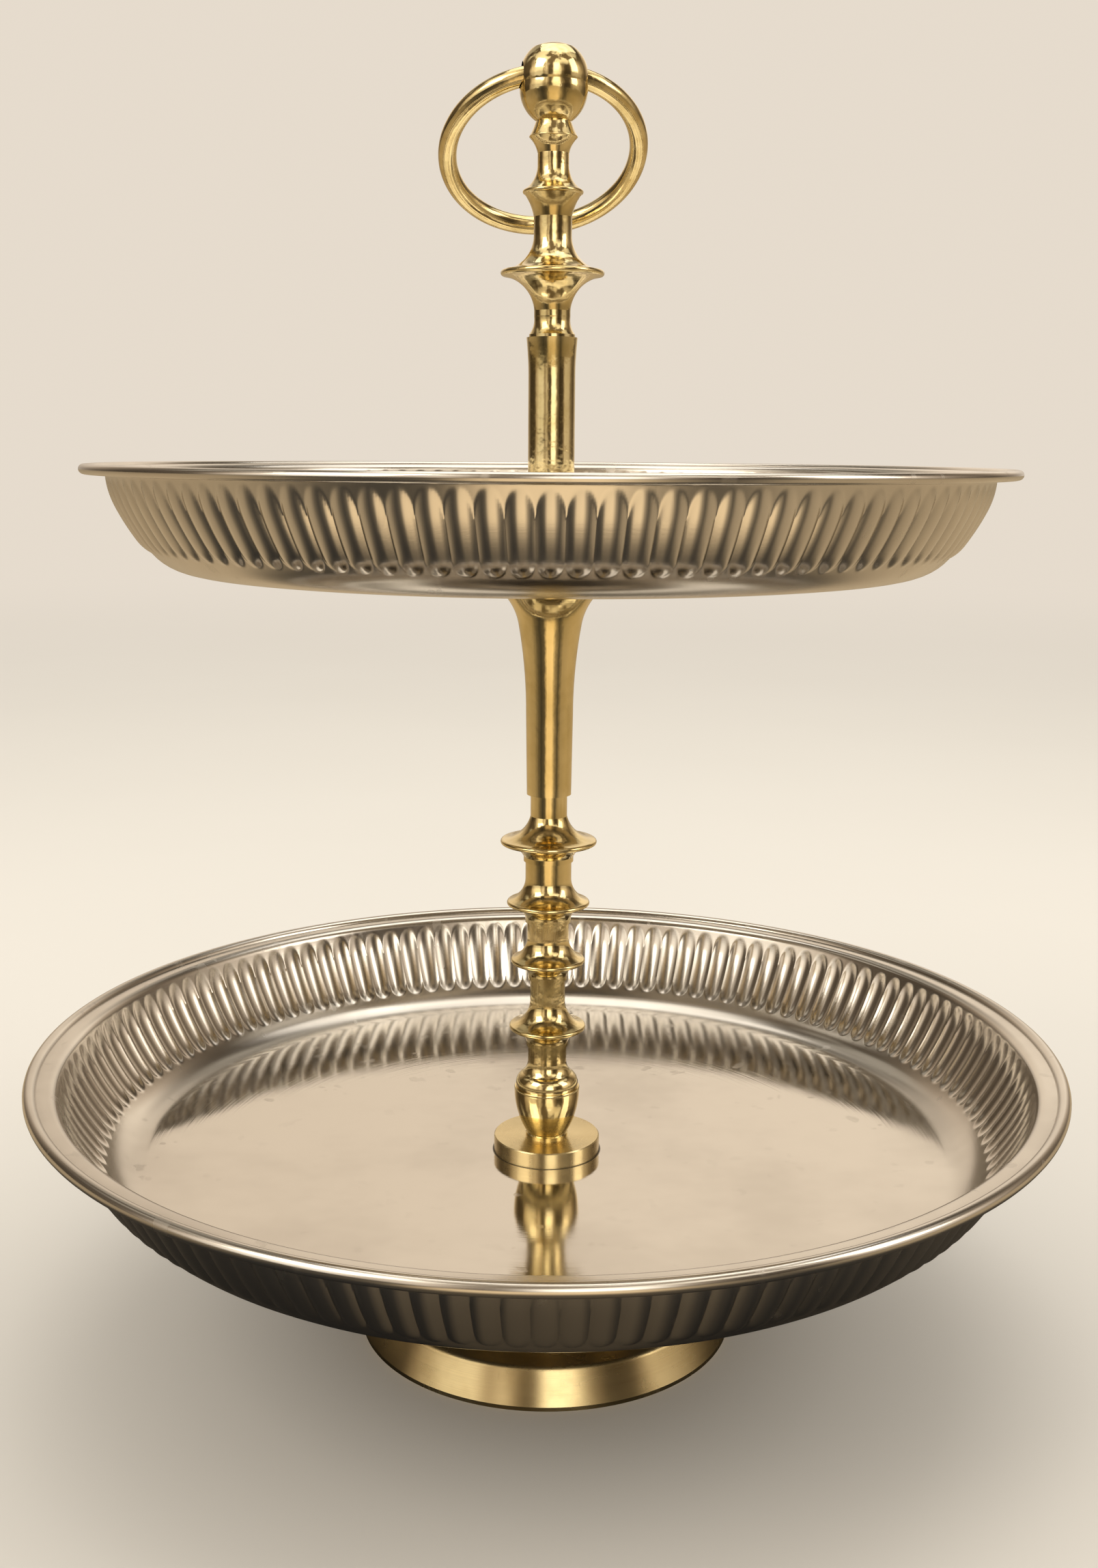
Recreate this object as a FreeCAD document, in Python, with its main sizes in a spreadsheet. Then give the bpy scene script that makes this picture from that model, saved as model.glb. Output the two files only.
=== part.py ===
import FreeCAD, Part
import math
import os
from types import SimpleNamespace

import Sketcher

# Two-tier cake stand: steel trays on a turned brass column, with a ring handle.
# Millimetres, +Z up, the foot stands on Z = 0 and the column is the Z axis.

os.makedirs("parts", exist_ok=True)
doc = FreeCAD.newDocument("TieredStand")

DRIVING_SIZES = [
    # foot
    ("footRadius", 56.0, "foot, where it stands"),
    ("footEdge", 1.2, "upright edge at the bottom of the skirt"),
    ("shoulderRadius", 52.0, "top of the skirt"),
    ("shoulderHeight", 10.7, "height of the skirt"),
    ("shoulderRound", 2.0, "rounding of the shoulder"),
    ("domeRadius", 23.0, "where the dome meets the stem"),
    ("domeHeight", 19.0, "height of that line"),
    ("stemRadius", 12.5, "narrowest part of the foot"),
    ("stemHeight", 34.0, "height of the narrowest part"),
    ("seatRadius", 20.0, "seat under the lower tray"),
    ("seatEdge", 2.4, "upright edge of the seat"),
    ("footHeight", 52.4, "height of the seat"),
    ("footWall", 1.8, "wall of the spun foot"),
    # fasteners
    ("studRadius", 3.0, "threaded rods, outside"),
    ("threadGap", 0.05, "radial clearance of a rod in its hole"),
    ("studTail", 2.0, "rod past the nut"),
    ("studGrip", 12.0, "rod held in the spindle and in the finial"),
    ("blindEnd", 1.0, "space left past the end of a rod"),
    ("washerRadius", 9.0, "washer, outside"),
    ("washerThickness", 1.6, "washer"),
    ("nutFlats", 10.0, "nut, across flats"),
    ("nutHeight", 5.0, "nut"),
    # trays
    ("sheetThickness", 0.9, "steel sheet of both trays"),
    ("clampRadius", 22.0, "flat middle of a tray, where it is clamped"),
    ("cornerAngle", 50.0, "degrees, slope where corner and wall meet"),
    ("wallAngle", 72.0, "degrees, slope at the top of the wall"),
    ("bendRadius", 1.8, "bend from the wall to the flange, underside"),
    ("lowerRimRadius", 150.0, "lower tray over its bead"),
    ("lowerBead", 1.9, "lower tray, radius of the rolled bead"),
    ("lowerFlange", 3.0, "lower tray, flat of the flange"),
    ("lowerCorner", 14.5, "lower tray, corner radius"),
    ("lowerWall", 69.2, "lower tray, wall curve radius"),
    ("lowerDish", 3.94, "degrees, slope of the floor at its edge"),
    ("upperRimRadius", 127.3, "upper tray over its bead"),
    ("upperBead", 1.3, "upper tray, radius of the rolled bead"),
    ("upperFlange", 2.4, "upper tray, flat of the flange"),
    ("upperCorner", 14.5, "upper tray, corner radius"),
    ("upperWall", 60.7, "upper tray, wall curve radius"),
    ("upperDish", 3.27, "degrees, slope of the floor at its edge"),
    # disc and socket
    ("discRadius", 15.8, "disc on the lower tray"),
    ("discHeight", 4.8, "thickness of that disc"),
    ("discEdge", 0.3, "broken edge of the disc"),
    ("socketBead", 6.3, "small bead at the foot of the socket"),
    ("socketBeadHeight", 0.7, "height of that bead"),
    ("socketNeck", 5.95, "socket just above its bead"),
    ("socketRim", 9.75, "widest part of the socket"),
    ("socketHeight", 15.4, "socket over its lip"),
    ("socketLip", 0.45, "wall of the lip round the spindle"),
    ("lipDepth", 0.9, "depth of the lip"),
    # knopped spindle
    ("domeRise", 7.8, "domed lower end of the spindle above the lip"),
    ("knopDRise", 18.7, "middle of the lowest knop above the lip"),
    ("knopCRise", 20.4, "second knop above the lowest"),
    ("knopBRise", 17.6, "third knop above the second"),
    ("knopARise", 18.4, "top knop above the third"),
    ("spindleRise", 14.0, "top of the spindle above the top knop"),
    ("knopDRadius", 11.35, "lowest knop"),
    ("knopCRadius", 10.9, "second knop"),
    ("knopBRadius", 12.1, "third knop"),
    ("knopARadius", 14.0, "top knop"),
    ("neckERadius", 5.75, "neck over the domed end"),
    ("neckDRadius", 5.2, "neck over the lowest knop"),
    ("neckCRadius", 6.15, "neck over the second knop"),
    ("neckBRadius", 6.7, "neck over the third knop"),
    ("neckARadius", 5.3, "neck over the top knop"),
    ("knopRim", 1.5, "thickness of a knop's rim"),
    ("knopFlare", 7.6, "height of the flare above a rim's middle"),
    ("knopTuck", 4.4, "height of the hollow below a rim's middle"),
    ("collarHeight", 1.4, "collar under each knop"),
    ("collarStep", 0.55, "collar, radius over the neck"),
    # trumpet support
    ("trumpetRadius", 6.42, "trumpet, lower end"),
    ("trumpetWaist", 6.75, "trumpet where its flare begins"),
    ("waistHeight", 23.4, "height of that line"),
    ("flareRadius", 9.05, "trumpet where its flare opens"),
    ("flareHeight", 49.6, "height of that line"),
    ("trumpetTop", 19.5, "trumpet, upper end"),
    ("trumpetEdge", 0.9, "upright edge of the upper end"),
    ("trumpetHeight", 62.8, "trumpet"),
    # upper tube
    ("tubeRadius", 6.5, "tube, outside"),
    ("tubeBore", 5.2, "tube, inside"),
    ("bellRadius", 7.05, "tube, top edge"),
    ("bellHeight", 12.0, "length of the bell"),
    ("tubeHeight", 64.2, "tube"),
    # finial
    ("spigotGap", 0.08, "radial clearance of the finial's spigot in the tube"),
    ("spigotLength", 3.0, "spigot"),
    ("finialBase", 6.35, "finial where it sits on the tube"),
    ("finialEdge", 0.8, "upright edge there"),
    ("finialNeck", 5.0, "neck under the disc knop"),
    ("discKnopRise", 17.0, "disc knop above the tube"),
    ("discKnopRadius", 14.2, "disc knop"),
    ("middleNeck", 5.2, "neck over the disc knop"),
    ("middleKnopRise", 21.2, "middle knop above the disc knop"),
    ("middleKnopRadius", 8.1, "middle knop"),
    ("upperNeck", 4.27, "neck over the middle knop"),
    ("smallKnopRise", 14.0, "small knop above the middle knop"),
    ("smallKnopRadius", 6.5, "small knop"),
    ("ballNeck", 4.75, "neck under the ball"),
    ("ballRise", 13.4, "ball's widest line above the small knop"),
    ("ballRadius", 9.1, "ball"),
    ("ballTop", 10.3, "top of the ball above its widest line"),
    ("crossBoreRise", 1.9, "cross bore above the ball's widest line"),
    # ring handle
    ("ringRadius", 26.9, "ring, to the middle of its wire"),
    ("wireRadius", 2.6, "wire of the ring"),
    ("ringGap", 0.05, "least clearance of the wire in the cross bore"),
    ("ringLean", 51.5, "degrees, ring from hanging straight down"),
    ("finialTurn", 8.0, "degrees, cross bore from the X axis"),
]

# roundness of the turned arcs: twice the rise of an arc over its chord, hollow arcs below zero
ROUND_RIM = 0.9
HOLLOW_FLARE = -0.33
HOLLOW_TUCK = -0.30
FULL_BALL = 0.29


class Size:
    # a number together with the spreadsheet expression that gives it

    def __init__(self, value, text):
        self.value = value
        self.text = text

    def __add__(self, other):
        other = asSize(other)
        return Size(self.value + other.value, "(%s + %s)" % (self.text, other.text))

    def __sub__(self, other):
        other = asSize(other)
        return Size(self.value - other.value, "(%s - %s)" % (self.text, other.text))

    def __mul__(self, other):
        other = asSize(other)
        return Size(self.value * other.value, "%s * %s" % (self.text, other.text))

    def __truediv__(self, other):
        other = asSize(other)
        return Size(self.value / other.value, "%s / (%s)" % (self.text, other.text))


def asSize(number):
    if isinstance(number, Size):
        return number
    return Size(float(number), repr(float(number)))


def root(size):
    return Size(math.sqrt(size.value), "sqrt(%s)" % size.text)


def sine(size):
    return Size(math.sin(math.radians(size.value)), "sin(%s)" % size.text)


def cosine(size):
    return Size(math.cos(math.radians(size.value)), "cos(%s)" % size.text)


def tangent(size):
    return Size(math.tan(math.radians(size.value)), "tan(%s)" % size.text)


def addSheet():
    sheet = doc.addObject("Spreadsheet::Sheet", "Sizes")
    names = {}
    for row, (alias, number, note) in enumerate(DRIVING_SIZES, start=1):
        sheet.set("A%d" % row, note)
        sheet.set("B%d" % row, str(number))
        sheet.setAlias("B%d" % row, alias)
        names[alias] = Size(number, "Sizes." + alias)
    doc.recompute()
    return SimpleNamespace(**names)


dim = addSheet()


# ---- outlines -------------------------------------------------------------------------------

def corner(x, y):
    # a straight edge arrives here
    return SimpleNamespace(x=asSize(x), y=asSize(y), bulge=0.0, radius=None)


def bulging(x, y, bulge):
    # an arc arrives here, its roundness fixed whatever its chord
    return SimpleNamespace(x=asSize(x), y=asSize(y), bulge=bulge, radius=None)


def turning(x, y, radius, degrees):
    # an arc of this radius arrives here after turning by this angle, to the left above zero
    bulge = math.tan(math.radians(degrees / 4))
    return SimpleNamespace(x=asSize(x), y=asSize(y), bulge=bulge, radius=radius)


def crown(start, y):
    # an arc arrives level at the axis, so that its centre is on the axis too
    rise = asSize(y) - start.y
    radius = (start.x * start.x + rise * rise) / (rise * 2)
    degrees = 2 * math.degrees(math.atan2(rise.value, start.x.value))
    return turning(0, y, radius, degrees)


def arcRadius(start, end):
    if end.radius is not None:
        return end.radius
    width = end.x - start.x
    height = end.y - start.y
    bulge = abs(end.bulge)
    return root(width * width + height * height) * ((1 + bulge * bulge) / (4 * bulge))


def arcBetween(start, end):
    first = FreeCAD.Vector(start.x.value, start.y.value, 0)
    last = FreeCAD.Vector(end.x.value, end.y.value, 0)
    chord = last - first
    left = FreeCAD.Vector(-chord.y, chord.x, 0)
    centre = (first + last) / 2 + left * ((1 - end.bulge ** 2) / (4 * end.bulge))
    circle = Part.Circle(centre, FreeCAD.Vector(0, 0, 1), (first - centre).Length)
    low, high = (first, last) if end.bulge > 0 else (last, first)
    return Part.ArcOfCircle(circle, circle.parameter(low), circle.parameter(high))


def bind(sketch, constraint, size):
    index = sketch.addConstraint(constraint)
    sketch.setExpression("Constraints[%d]" % index, size.text)


def drawOutline(sketch, outline):
    # edge number i arrives at corner number i, so edge 0 closes the outline
    startPoint = []
    endPoint = []
    for index, end in enumerate(outline):
        start = outline[index - 1]
        if end.bulge:
            sketch.addGeometry(arcBetween(start, end), False)
            forwards = end.bulge > 0
        else:
            ends = [FreeCAD.Vector(point.x.value, point.y.value, 0) for point in (start, end)]
            sketch.addGeometry(Part.LineSegment(*ends), False)
            forwards = True
        startPoint.append(1 if forwards else 2)
        endPoint.append(2 if forwards else 1)
    for index, end in enumerate(outline):
        following = (index + 1) % len(outline)
        sketch.addConstraint(Sketcher.Constraint(
            "Coincident", index, endPoint[index], following, startPoint[following]))
    for index, end in enumerate(outline):
        if end.x.value == 0:
            sketch.addConstraint(Sketcher.Constraint("PointOnObject", index, endPoint[index], -2))
        else:
            bind(sketch, Sketcher.Constraint(
                "DistanceX", -1, 1, index, endPoint[index], end.x.value), end.x)
        if end.y.value == 0:
            sketch.addConstraint(Sketcher.Constraint("PointOnObject", index, endPoint[index], -1))
        else:
            bind(sketch, Sketcher.Constraint(
                "DistanceY", -1, 1, index, endPoint[index], end.y.value), end.y)
        if end.bulge:
            radius = arcRadius(outline[index - 1], end)
            bind(sketch, Sketcher.Constraint("Radius", index, radius.value), radius)


# ---- bodies ---------------------------------------------------------------------------------

def addBody(label, base):
    body = doc.addObject("PartDesign::Body", label)
    body.Label = label
    body.setExpression("Placement.Base.z", base.text)
    return body


def addSketch(body, name, plane):
    sketch = body.newObject("Sketcher::SketchObject", name)
    support = [item for item in body.Origin.OriginFeatures if item.Role == plane][0]
    sketch.AttachmentSupport = [(support, "")]
    sketch.MapMode = "FlatFace"
    return sketch


def turned(label, base, outline):
    # a body of revolution about its own Z axis
    body = addBody(label, base)
    sketch = addSketch(body, label + "_outline", "XZ_Plane")
    drawOutline(sketch, outline)
    doc.recompute()
    turn = body.newObject("PartDesign::Revolution", label + "_turning")
    turn.Profile = sketch
    turn.ReferenceAxis = (sketch, ["V_Axis"])
    turn.Angle = 360
    body.Tip = turn
    doc.recompute()
    return body


def circleEdge(feature, radius, height):
    # the name of the round edge of this radius and height
    for index, edge in enumerate(feature.Shape.Edges, start=1):
        curve = edge.Curve
        if isinstance(curve, Part.Circle) and abs(curve.Radius - radius.value) < 0.01:
            if abs(curve.Center.z - height.value) < 0.01:
                return "Edge%d" % index
    raise ValueError("no round edge of radius %.2f" % radius.value)


studHole = dim.studRadius + dim.threadGap

# heights of the seats, from the foot up
lowerTraySeat = dim.footHeight
discSeat = lowerTraySeat + dim.sheetThickness
socketSeat = discSeat + dim.discHeight
lipHeight = socketSeat + dim.socketHeight
spindleSeat = lipHeight - dim.lipDepth
trumpetSeat = (lipHeight + dim.knopDRise + dim.knopCRise + dim.knopBRise + dim.knopARise
               + dim.spindleRise)
upperTraySeat = trumpetSeat + dim.trumpetHeight
tubeSeat = upperTraySeat + dim.sheetThickness
finialSeat = tubeSeat + dim.tubeHeight


def makeFoot():
    wall = dim.footWall
    outline = [
        corner(dim.footRadius - wall * 1.3, 0),
        corner(dim.footRadius, 0),
        corner(dim.footRadius, dim.footEdge),
        corner(dim.shoulderRadius, dim.shoulderHeight),
        bulging(dim.domeRadius, dim.domeHeight, 0.08),
        bulging(dim.stemRadius, dim.stemHeight, -0.3),
        bulging(dim.seatRadius, dim.footHeight - dim.seatEdge, -0.28),
        corner(dim.seatRadius, dim.footHeight),
        corner(studHole, dim.footHeight),
        corner(studHole, dim.footHeight - wall),
        corner(dim.stemRadius - wall, dim.footHeight - wall),
        corner(dim.stemRadius - wall, dim.stemHeight - wall),
        bulging(dim.domeRadius - wall * 0.4, dim.domeHeight - wall, 0.3),
        bulging(dim.shoulderRadius - wall, dim.shoulderHeight - wall * 0.9, -0.08),
    ]
    body = turned("foot", asSize(0), outline)
    spun = body.Tip
    shoulder = body.newObject("PartDesign::Fillet", "foot_shoulder")
    shoulder.Base = (spun, [circleEdge(spun, dim.shoulderRadius, dim.shoulderHeight)])
    shoulder.setExpression("Radius", dim.shoulderRound.text)
    body.Tip = shoulder
    doc.recompute()
    return body


def makeTray(label, seat, rimRadius, bead, flange, bottomCorner, wallCurve, dish):
    sheet = dim.sheetThickness
    atDish, atCorner, atWall = [(sine(angle), cosine(angle))
                                for angle in (dish, dim.cornerAngle, dim.wallAngle)]
    beadReach = root(bead * bead - sheet * sheet / 4)

    # underside, from the rim inwards: radii of the places where one curve meets the next
    beadX = rimRadius - bead - beadReach
    bendX = beadX - flange
    wallX = bendX - dim.bendRadius * atWall[0]
    cornerX = wallX - wallCurve * (atWall[0] - atCorner[0])
    dishX = cornerX - bottomCorner * (atCorner[0] - atDish[0])
    # and their heights, from the middle outwards
    dishZ = (dishX - dim.clampRadius) * tangent(dish / 2)
    cornerZ = dishZ + bottomCorner * (atDish[1] - atCorner[1])
    wallZ = cornerZ + wallCurve * (atCorner[1] - atWall[1])
    bendZ = wallZ + dim.bendRadius * (asSize(1) - atWall[1])

    dishCurve = (dishX - dim.clampRadius) / atDish[0]
    dishTurn = dish.value
    cornerTurn = dim.cornerAngle.value - dish.value
    wallTurn = dim.wallAngle.value - dim.cornerAngle.value
    bendTurn = dim.wallAngle.value
    beadTurn = 360 - 2 * math.degrees(math.asin(sheet.value / 2 / bead.value))
    outline = [
        corner(studHole, sheet),
        corner(studHole, 0),
        corner(dim.clampRadius, 0),
        turning(dishX, dishZ, dishCurve, dishTurn),
        turning(cornerX, cornerZ, bottomCorner, cornerTurn),
        turning(wallX, wallZ, wallCurve, wallTurn),
        turning(bendX, bendZ, dim.bendRadius, -bendTurn),
        corner(beadX, bendZ),
        turning(beadX, bendZ + sheet, bead, beadTurn),
        corner(bendX, bendZ + sheet),
        turning(wallX - sheet * atWall[0], wallZ + sheet * atWall[1],
                dim.bendRadius + sheet, bendTurn),
        turning(cornerX - sheet * atCorner[0], cornerZ + sheet * atCorner[1],
                wallCurve - sheet, -wallTurn),
        turning(dishX - sheet * atDish[0], dishZ + sheet * atDish[1],
                bottomCorner - sheet, -cornerTurn),
        turning(dim.clampRadius, sheet, dishCurve - sheet, -dishTurn),
    ]
    return turned(label, seat, outline)


def makeDisc():
    edge = dim.discEdge
    outline = [
        corner(studHole, 0),
        corner(dim.discRadius, 0),
        corner(dim.discRadius, dim.discHeight - edge),
        corner(dim.discRadius - edge, dim.discHeight),
        corner(studHole, dim.discHeight),
    ]
    return turned("flange_disc", discSeat, outline)


def makeSocket():
    floor = dim.socketHeight - dim.lipDepth
    outline = [
        corner(studHole, 0),
        corner(dim.socketBead, 0),
        corner(dim.socketBead, dim.socketBeadHeight),
        corner(dim.socketNeck, dim.socketBeadHeight * 1.4),
        bulging(dim.socketRim, floor, 0.14),
        bulging(dim.socketRim - dim.socketLip * 0.4, dim.socketHeight, 0.2),
        corner(dim.socketRim - dim.socketLip, dim.socketHeight),
        corner(dim.socketRim - dim.socketLip, floor),
        corner(studHole, floor),
    ]
    return turned("tapered_socket", socketSeat, outline)


def knop(height, rim, neckBelow, neckAbove):
    # collar, hollow underside, rounded rim and hollow flare of one knop
    half = dim.knopRim / 2
    edge = rim - half * ROUND_RIM
    under = height - dim.knopTuck
    return [
        corner(neckBelow, under - dim.collarHeight),
        corner(neckBelow + dim.collarStep, under - dim.collarHeight),
        corner(neckBelow + dim.collarStep, under),
        bulging(edge, height - half, HOLLOW_TUCK),
        bulging(edge, height + half, ROUND_RIM),
        bulging(neckAbove, height + dim.knopFlare, HOLLOW_FLARE),
    ]


def makeSpindle():
    foot = dim.socketRim - dim.socketLip - dim.threadGap
    knopD = dim.lipDepth + dim.knopDRise
    knopC = knopD + dim.knopCRise
    knopB = knopC + dim.knopBRise
    knopA = knopB + dim.knopARise
    top = knopA + dim.spindleRise
    depth = dim.studGrip + dim.blindEnd
    dome = dim.lipDepth + dim.domeRise
    outline = [
        corner(studHole, 0),
        corner(foot, 0),
        corner(foot, dim.lipDepth),
        bulging(foot * 0.79, dim.lipDepth + dim.domeRise * 0.55, 0.32),
        bulging(dim.neckERadius, dome, -0.2),
    ]
    outline += knop(knopD, dim.knopDRadius, dim.neckERadius, dim.neckDRadius)
    outline += knop(knopC, dim.knopCRadius, dim.neckDRadius, dim.neckCRadius)
    outline += knop(knopB, dim.knopBRadius, dim.neckCRadius, dim.neckBRadius)
    outline += knop(knopA, dim.knopARadius, dim.neckBRadius, dim.neckARadius)
    outline += [
        corner(dim.neckARadius, top),
        corner(studHole, top),
        corner(studHole, top - depth),
        corner(0, top - depth),
        corner(0, depth),
        corner(studHole, depth),
    ]
    return turned("knop_spindle", spindleSeat, outline)


def makeTrumpet():
    outline = [
        corner(studHole, 0),
        corner(dim.trumpetRadius, 0),
        corner(dim.trumpetWaist, dim.waistHeight),
        bulging(dim.flareRadius, dim.flareHeight, -0.046),
        bulging(dim.trumpetTop, dim.trumpetHeight - dim.trumpetEdge, -0.26),
        corner(dim.trumpetTop, dim.trumpetHeight),
        corner(studHole, dim.trumpetHeight),
    ]
    return turned("trumpet_support", trumpetSeat, outline)


def makeTube():
    outline = [
        corner(dim.tubeBore, 0),
        corner(dim.tubeRadius, 0),
        corner(dim.tubeRadius, dim.tubeHeight - dim.bellHeight),
        bulging(dim.bellRadius, dim.tubeHeight, -0.03),
        corner(dim.tubeBore, dim.tubeHeight),
    ]
    return turned("upper_tube", tubeSeat, outline)


# the wire is curved, so in the cross bore it rises and falls by this much about the hinge
ringInside = dim.ringRadius - dim.wireRadius
boreRise = (ringInside - root(ringInside * ringInside - dim.ballRadius * dim.ballRadius)) / 2
crossBoreRadius = dim.wireRadius + boreRise + dim.ringGap
ballHeight = dim.discKnopRise + dim.middleKnopRise + dim.smallKnopRise + dim.ballRise
hingeHeight = finialSeat + ballHeight + dim.crossBoreRise


def makeFinial():
    spigot = dim.tubeBore - dim.spigotGap
    discKnop = dim.discKnopRise
    middleKnop = discKnop + dim.middleKnopRise
    smallKnop = middleKnop + dim.smallKnopRise
    ballNeckHeight = smallKnop + dim.ballRise * 0.3
    boreEnd = dim.studGrip + dim.blindEnd - dim.spigotLength
    ballShoulder = bulging(dim.ballRadius * 0.62, ballHeight + dim.ballTop * 0.87, FULL_BALL)
    outline = [
        corner(studHole, dim.spigotLength * -1),
        corner(spigot, dim.spigotLength * -1),
        corner(spigot, 0),
        corner(dim.finialBase, 0),
        corner(dim.finialBase, dim.finialEdge),
        bulging(dim.finialNeck, discKnop * 0.33, -0.2),
        corner(dim.finialNeck, discKnop * 0.42),
        bulging(dim.discKnopRadius - 0.7, discKnop - 0.8, -0.36),
        bulging(dim.discKnopRadius - 0.7, discKnop + 0.8, ROUND_RIM),
        bulging(dim.middleNeck, discKnop + dim.middleKnopRise * 0.5, -0.4),
        corner(dim.middleNeck, middleKnop - dim.middleKnopRise * 0.31),
        bulging(dim.middleKnopRadius - 0.4, middleKnop - 0.7, -0.12),
        bulging(dim.middleKnopRadius - 0.4, middleKnop + 0.5, ROUND_RIM),
        bulging(dim.upperNeck, middleKnop + dim.smallKnopRise * 0.49, -0.25),
        corner(dim.upperNeck, smallKnop - dim.smallKnopRise * 0.3),
        bulging(dim.smallKnopRadius - 0.1, smallKnop - 0.25, -0.15),
        bulging(dim.smallKnopRadius - 0.1, smallKnop + 0.25, 0.6),
        bulging(dim.ballNeck, ballNeckHeight, -0.05),
        bulging(dim.ballRadius, ballHeight, FULL_BALL),
        ballShoulder,
        crown(ballShoulder, ballHeight + dim.ballTop),
        corner(0, boreEnd),
        corner(studHole, boreEnd),
    ]
    body = turned("finial", finialSeat, outline)
    sketch = addSketch(body, "finial_crossBore", "YZ_Plane")
    height = ballHeight + dim.crossBoreRise
    sketch.addGeometry(Part.Circle(FreeCAD.Vector(0, height.value, 0), FreeCAD.Vector(0, 0, 1),
                                   crossBoreRadius.value), False)
    sketch.addConstraint(Sketcher.Constraint("PointOnObject", 0, 3, -2))
    bind(sketch, Sketcher.Constraint("DistanceY", -1, 1, 0, 3, height.value), height)
    bind(sketch, Sketcher.Constraint("Radius", 0, crossBoreRadius.value), crossBoreRadius)
    doc.recompute()
    solidVolume = body.Shape.Volume
    bore = body.newObject("PartDesign::Pocket", "finial_bore")
    bore.Profile = sketch
    bore.Type = "Length"
    bore.SideType = "Symmetric"
    bore.setExpression("Length", (dim.ballRadius * 3).text)
    body.Tip = bore
    doc.recompute()
    expected = math.pi * crossBoreRadius.value ** 2 * 2 * dim.ballRadius.value
    removed = solidVolume - body.Shape.Volume
    assert 0.8 * expected < removed < expected, "cross bore took %.1f mm3" % removed
    body.setExpression("Placement.Rotation.Angle", dim.finialTurn.text)
    doc.recompute()
    return body


def makeRing():
    # drawn about its own middle, with its wire's circle turned about the local Y axis
    reach = dim.ringRadius - boreRise
    body = addBody("ring_handle", hingeHeight - reach * cosine(dim.ringLean))
    sketch = addSketch(body, "ring_wire", "XY_Plane")
    sketch.addGeometry(Part.Circle(FreeCAD.Vector(dim.ringRadius.value, 0, 0),
                                   FreeCAD.Vector(0, 0, 1), dim.wireRadius.value), False)
    sketch.addConstraint(Sketcher.Constraint("PointOnObject", 0, 3, -1))
    bind(sketch, Sketcher.Constraint("DistanceX", -1, 1, 0, 3, dim.ringRadius.value),
         dim.ringRadius)
    bind(sketch, Sketcher.Constraint("Radius", 0, dim.wireRadius.value), dim.wireRadius)
    doc.recompute()
    ring = body.newObject("PartDesign::Revolution", "ring_bend")
    ring.Profile = sketch
    ring.ReferenceAxis = (sketch, ["V_Axis"])
    ring.Angle = 360
    body.Tip = ring
    back = reach * sine(dim.ringLean)
    body.setExpression("Placement.Base.x", (back * sine(dim.finialTurn) * -1).text)
    body.setExpression("Placement.Base.y", (back * cosine(dim.finialTurn)).text)
    lean = FreeCAD.Rotation(FreeCAD.Vector(1, 0, 0), dim.ringLean.value)
    turn = FreeCAD.Rotation(FreeCAD.Vector(0, 0, 1), dim.finialTurn.value)
    body.Placement.Rotation = turn.multiply(lean)
    doc.recompute()
    return body


def makeRod(label, base, length):
    rod = doc.addObject("Part::Cylinder", label)
    rod.Label = label
    rod.setExpression("Radius", dim.studRadius.text)
    rod.setExpression("Height", length.text)
    rod.setExpression("Placement.Base.z", base.text)
    return rod


washerSeat = dim.footHeight - dim.footWall - dim.washerThickness
nutSeat = washerSeat - dim.nutHeight


def makeWasher():
    outline = [
        corner(studHole, 0),
        corner(dim.washerRadius, 0),
        corner(dim.washerRadius, dim.washerThickness),
        corner(studHole, dim.washerThickness),
    ]
    return turned("base_washer", washerSeat, outline)


def makeNut():
    hexagon = doc.addObject("Part::Prism", "nut_hexagon")
    hexagon.Polygon = 6
    hexagon.setExpression("Circumradius", (dim.nutFlats / math.sqrt(3)).text)
    hexagon.setExpression("Height", dim.nutHeight.text)
    hole = doc.addObject("Part::Cylinder", "nut_hole")
    hole.setExpression("Radius", studHole.text)
    hole.setExpression("Height", dim.nutHeight.text)
    nut = doc.addObject("Part::Cut", "base_nut")
    nut.Label = "base_nut"
    nut.Base = hexagon
    nut.Tool = hole
    nut.setExpression("Placement.Base.z", nutSeat.text)
    return nut


lowerRodBase = nutSeat - dim.studTail
upperRodBase = trumpetSeat - dim.studGrip
nodes = [
    makeFoot(),
    makeWasher(),
    makeNut(),
    makeRod("lower_stud", lowerRodBase, spindleSeat + dim.studGrip - lowerRodBase),
    makeTray("lower_tray", lowerTraySeat, dim.lowerRimRadius, dim.lowerBead, dim.lowerFlange,
             dim.lowerCorner, dim.lowerWall, dim.lowerDish),
    makeDisc(),
    makeSocket(),
    makeSpindle(),
    makeTrumpet(),
    makeRod("upper_stud", upperRodBase,
            finialSeat - dim.spigotLength + dim.studGrip - upperRodBase),
    makeTray("upper_tray", upperTraySeat, dim.upperRimRadius, dim.upperBead, dim.upperFlange,
             dim.upperCorner, dim.upperWall, dim.upperDish),
    makeTube(),
    makeFinial(),
    makeRing(),
]
doc.recompute()

for item in doc.Objects:
    for state in ("Invalid", "Error"):
        assert state not in item.State, "%s is %s" % (item.Label, state)
for node in nodes:
    shape = node.Shape
    assert not shape.isNull() and shape.isValid(), "%s has no valid shape" % node.Label
    assert len(shape.Solids) == 1, "%s has %d solids" % (node.Label, len(shape.Solids))
    shape.exportStep("parts/%s.step" % node.Label)
    box = shape.BoundBox
    print("%-16s z %7.2f to %7.2f  reach %7.2f  volume %9.1f"
          % (node.Label, box.ZMin, box.ZMax, box.XMax, shape.Volume))
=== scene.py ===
import math

import bpy
import numpy as np
from mathutils import Matrix, Vector


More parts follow.
